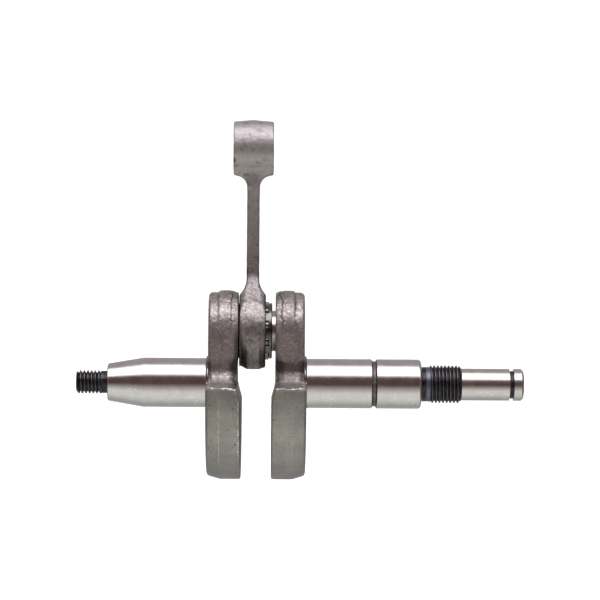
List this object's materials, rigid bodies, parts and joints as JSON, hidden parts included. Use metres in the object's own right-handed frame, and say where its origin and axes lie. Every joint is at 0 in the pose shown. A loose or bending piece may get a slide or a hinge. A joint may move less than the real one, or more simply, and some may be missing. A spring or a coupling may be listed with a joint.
{
  "type": "crankshaft with connecting rod",
  "caption": "Built-up single-cylinder engine crankshaft with counterweights, tapered and threaded ends, and a connecting rod on a caged needle bearing.",
  "frame": {"origin": "on the main axis, halfway between the two crank webs", "axes": "+X along the main axis to the clutch end, +Z from the main axis to the crank pin"},
  "size_m": [0.1539, 0.0662, 0.1237],
  "materials": {
    "forged_steel": "forged webs, ground journals, blackened threads",
    "bearing_steel": "ground and polished",
    "rod_steel": "blasted forging",
    "cage_steel": "machined, bright"
  },
  "bodies": {
    "crank": {"flywheel_crank_half": "forged_steel", "clutch_crank_half": "forged_steel", "crank_pin": "bearing_steel"},
    "rod": {"connecting_rod": "rod_steel"},
    "cage": {"big_end_cage": "cage_steel"},
    "roller_01": {"needle_01": "bearing_steel"},
    "roller_02": {"needle_02": "bearing_steel"},
    "roller_03": {"needle_03": "bearing_steel"},
    "roller_04": {"needle_04": "bearing_steel"},
    "roller_05": {"needle_05": "bearing_steel"},
    "roller_06": {"needle_06": "bearing_steel"},
    "roller_07": {"needle_07": "bearing_steel"},
    "roller_08": {"needle_08": "bearing_steel"},
    "roller_09": {"needle_09": "bearing_steel"},
    "roller_10": {"needle_10": "bearing_steel"}
  },
  "joints": [
    {"name": "rod_swing", "type": "hinge", "parent": "crank", "child": "rod", "pos_m": [0, 0, 0.018], "axis": [1, 0, 0], "continuous": true},
    {"name": "cage_orbit", "type": "hinge", "parent": "crank", "child": "cage", "pos_m": [0, 0, 0.018], "axis": [1, 0, 0], "continuous": true},
    {"name": "roller_01_spin", "type": "hinge", "parent": "cage", "child": "roller_01", "pos_m": [0, 0.00074, 0.00953], "axis": [1, 0, 0], "continuous": true},
    {"name": "roller_02_spin", "type": "hinge", "parent": "cage", "child": "roller_02", "pos_m": [0, 0.00558, 0.01158], "axis": [1, 0, 0], "continuous": true},
    {"name": "roller_03_spin", "type": "hinge", "parent": "cage", "child": "roller_03", "pos_m": [0, 0.00828, 0.01609], "axis": [1, 0, 0], "continuous": true},
    {"name": "roller_04_spin", "type": "hinge", "parent": "cage", "child": "roller_04", "pos_m": [0, 0.00782, 0.02132], "axis": [1, 0, 0], "continuous": true},
    {"name": "roller_05_spin", "type": "hinge", "parent": "cage", "child": "roller_05", "pos_m": [0, 0.00438, 0.02529], "axis": [1, 0, 0], "continuous": true},
    {"name": "roller_06_spin", "type": "hinge", "parent": "cage", "child": "roller_06", "pos_m": [0, -0.00074, 0.02647], "axis": [1, 0, 0], "continuous": true},
    {"name": "roller_07_spin", "type": "hinge", "parent": "cage", "child": "roller_07", "pos_m": [0, -0.00558, 0.02441], "axis": [1, 0, 0], "continuous": true},
    {"name": "roller_08_spin", "type": "hinge", "parent": "cage", "child": "roller_08", "pos_m": [0, -0.00828, 0.01991], "axis": [1, 0, 0], "continuous": true},
    {"name": "roller_09_spin", "type": "hinge", "parent": "cage", "child": "roller_09", "pos_m": [0, -0.00782, 0.01468], "axis": [1, 0, 0], "continuous": true},
    {"name": "roller_10_spin", "type": "hinge", "parent": "cage", "child": "roller_10", "pos_m": [0, -0.00438, 0.01071], "axis": [1, 0, 0], "continuous": true}
  ],
  "couplings": [
    {"joint": "cage_orbit", "follows": "rod_swing", "ratio": 0.58823},
    {"joint": "roller_01_spin", "follows": "rod_swing", "ratio": 2.7451},
    {"joint": "roller_02_spin", "follows": "rod_swing", "ratio": 2.7451},
    {"joint": "roller_03_spin", "follows": "rod_swing", "ratio": 2.7451},
    {"joint": "roller_04_spin", "follows": "rod_swing", "ratio": 2.7451},
    {"joint": "roller_05_spin", "follows": "rod_swing", "ratio": 2.7451},
    {"joint": "roller_06_spin", "follows": "rod_swing", "ratio": 2.7451},
    {"joint": "roller_07_spin", "follows": "rod_swing", "ratio": 2.7451},
    {"joint": "roller_08_spin", "follows": "rod_swing", "ratio": 2.7451},
    {"joint": "roller_09_spin", "follows": "rod_swing", "ratio": 2.7451},
    {"joint": "roller_10_spin", "follows": "rod_swing", "ratio": 2.7451}
  ]
}
